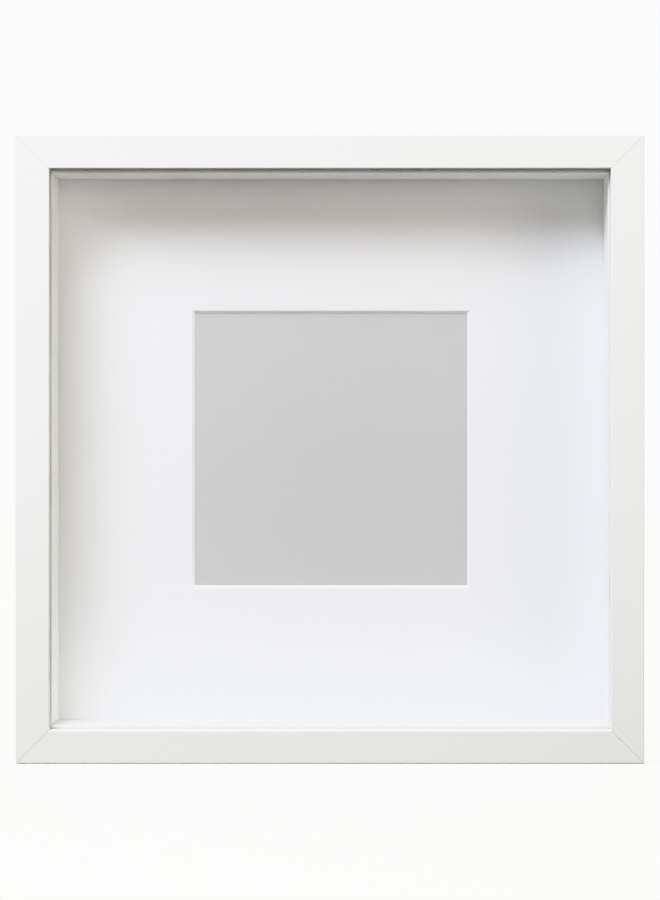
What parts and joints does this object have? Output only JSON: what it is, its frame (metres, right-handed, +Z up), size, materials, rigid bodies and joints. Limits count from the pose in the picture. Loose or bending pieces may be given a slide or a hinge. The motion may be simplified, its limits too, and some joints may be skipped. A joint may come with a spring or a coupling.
{
  "type": "shadow box frame",
  "caption": "Square deep picture frame with a clear front sheet, a spacer box, a bevelled window mat, a print and a back panel held in by bendable tabs, with a keyhole hanger.",
  "frame": {"origin": "middle of the bottom face", "axes": "+Z up; the front with the clear sheet faces -Y; +X to the right seen from the front"},
  "size_m": [0.27, 0.045, 0.27],
  "materials": {
    "foil_white": "fibreboard moulding wrapped in white foil, satin",
    "clear_styrene": "clear polystyrene sheet, polished",
    "spacer_white": "fibreboard strip covered in white paper, matt",
    "mat_white": "white mount board, matt, with a 45 degree bevel",
    "print_grey": "plain grey paper, matt",
    "fibreboard": "brown hardboard, smooth",
    "zinc_steel": "zinc plated steel strip"
  },
  "bodies": {
    "frame": {"rail_bottom": "foil_white", "rail_left": "foil_white", "rail_top": "foil_white", "rail_right": "foil_white", "v_nail_bottom_left": "zinc_steel", "v_nail_top_left": "zinc_steel", "v_nail_top_right": "zinc_steel", "v_nail_bottom_right": "zinc_steel", "tab_shanks": "zinc_steel"},
    "sheet": {"front_sheet": "clear_styrene"},
    "spacer": {"spacer_bottom": "spacer_white", "spacer_left": "spacer_white", "spacer_top": "spacer_white", "spacer_right": "spacer_white"},
    "mat": {"mat_board": "mat_white"},
    "print": {"picture_insert": "print_grey"},
    "back": {"back_panel": "fibreboard", "hanger_plate": "zinc_steel", "hanger_rivets": "zinc_steel"},
    "tab_bottom_left": {"tab_bottom_left": "zinc_steel"},
    "tab_bottom_right": {"tab_bottom_right": "zinc_steel"},
    "tab_left_top": {"tab_left_top": "zinc_steel"},
    "tab_left_bottom": {"tab_left_bottom": "zinc_steel"},
    "tab_top_right": {"tab_top_right": "zinc_steel"},
    "tab_top_left": {"tab_top_left": "zinc_steel"},
    "tab_right_bottom": {"tab_right_bottom": "zinc_steel"},
    "tab_right_top": {"tab_right_top": "zinc_steel"}
  },
  "joints": [
    {"name": "sheet_slide", "type": "slide", "parent": "frame", "child": "sheet", "axis": [0, 1, 0], "range_m": [0, 0.05]},
    {"name": "spacer_slide", "type": "slide", "parent": "sheet", "child": "spacer", "axis": [0, 1, 0], "range_m": [0, 0.04]},
    {"name": "mat_slide", "type": "slide", "parent": "spacer", "child": "mat", "axis": [0, 1, 0], "range_m": [0, 0.04]},
    {"name": "print_slide", "type": "slide", "parent": "mat", "child": "print", "axis": [0, 1, 0], "range_m": [0, 0.04]},
    {"name": "back_slide", "type": "slide", "parent": "print", "child": "back", "axis": [0, 1, 0], "range_m": [0, 0.05], "deforming": ["tab_bottom_left", "tab_bottom_right", "tab_left_top", "tab_left_bottom", "tab_top_right", "tab_top_left", "tab_right_bottom", "tab_right_top"]},
    {"name": "tab_bottom_left_bend", "type": "hinge", "parent": "frame", "child": "tab_bottom_left", "pos_m": [-0.0625, 0.01855, 0.01027], "axis": [-1, 0, 0], "range_deg": [0, 90]},
    {"name": "tab_bottom_right_bend", "type": "hinge", "parent": "frame", "child": "tab_bottom_right", "pos_m": [0.0625, 0.01855, 0.01027], "axis": [-1, 0, 0], "range_deg": [0, 90]},
    {"name": "tab_left_top_bend", "type": "hinge", "parent": "frame", "child": "tab_left_top", "pos_m": [-0.12473, 0.01855, 0.1975], "axis": [0, 0, 1], "range_deg": [0, 90]},
    {"name": "tab_left_bottom_bend", "type": "hinge", "parent": "frame", "child": "tab_left_bottom", "pos_m": [-0.12473, 0.01855, 0.0725], "axis": [0, 0, 1], "range_deg": [0, 90]},
    {"name": "tab_top_right_bend", "type": "hinge", "parent": "frame", "child": "tab_top_right", "pos_m": [0.0625, 0.01855, 0.25973], "axis": [1, 0, 0], "range_deg": [0, 90]},
    {"name": "tab_top_left_bend", "type": "hinge", "parent": "frame", "child": "tab_top_left", "pos_m": [-0.0625, 0.01855, 0.25973], "axis": [1, 0, 0], "range_deg": [0, 90]},
    {"name": "tab_right_bottom_bend", "type": "hinge", "parent": "frame", "child": "tab_right_bottom", "pos_m": [0.12473, 0.01855, 0.0725], "axis": [0, 0, -1], "range_deg": [0, 90]},
    {"name": "tab_right_top_bend", "type": "hinge", "parent": "frame", "child": "tab_right_top", "pos_m": [0.12473, 0.01855, 0.1975], "axis": [0, 0, -1], "range_deg": [0, 90]}
  ]
}
